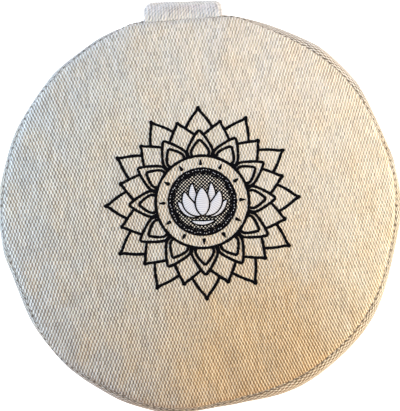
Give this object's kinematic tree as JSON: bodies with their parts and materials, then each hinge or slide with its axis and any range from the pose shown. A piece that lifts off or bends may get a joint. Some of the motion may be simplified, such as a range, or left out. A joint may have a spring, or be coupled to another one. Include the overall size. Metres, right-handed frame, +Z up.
{
  "type": "zafu meditation cushion",
  "caption": "Round, firmly filled meditation cushion with a domed embroidered top panel, a bulging side band and a wide cloth carry handle.",
  "frame": {"origin": "centre of the flat round that the cushion rests on", "axes": "+Z up through the crown, +Y towards the carry handle, +X to the right in the view from above"},
  "size_m": [0.3285, 0.3355, 0.1499],
  "materials": {
    "natural_cloth": "thick matte plain weave, cream yarn over taupe yarn",
    "strap_cloth": "the same plain weave, doubled and pressed flat",
    "embroidered_cloth": "the same plain weave, embroidered with black and white thread"
  },
  "bodies": {
    "root": {"filled_side_band": "natural_cloth", "top_panel": "embroidered_cloth", "base_panel": "natural_cloth", "carry_handle": "strap_cloth"}
  },
  "joints": []
}
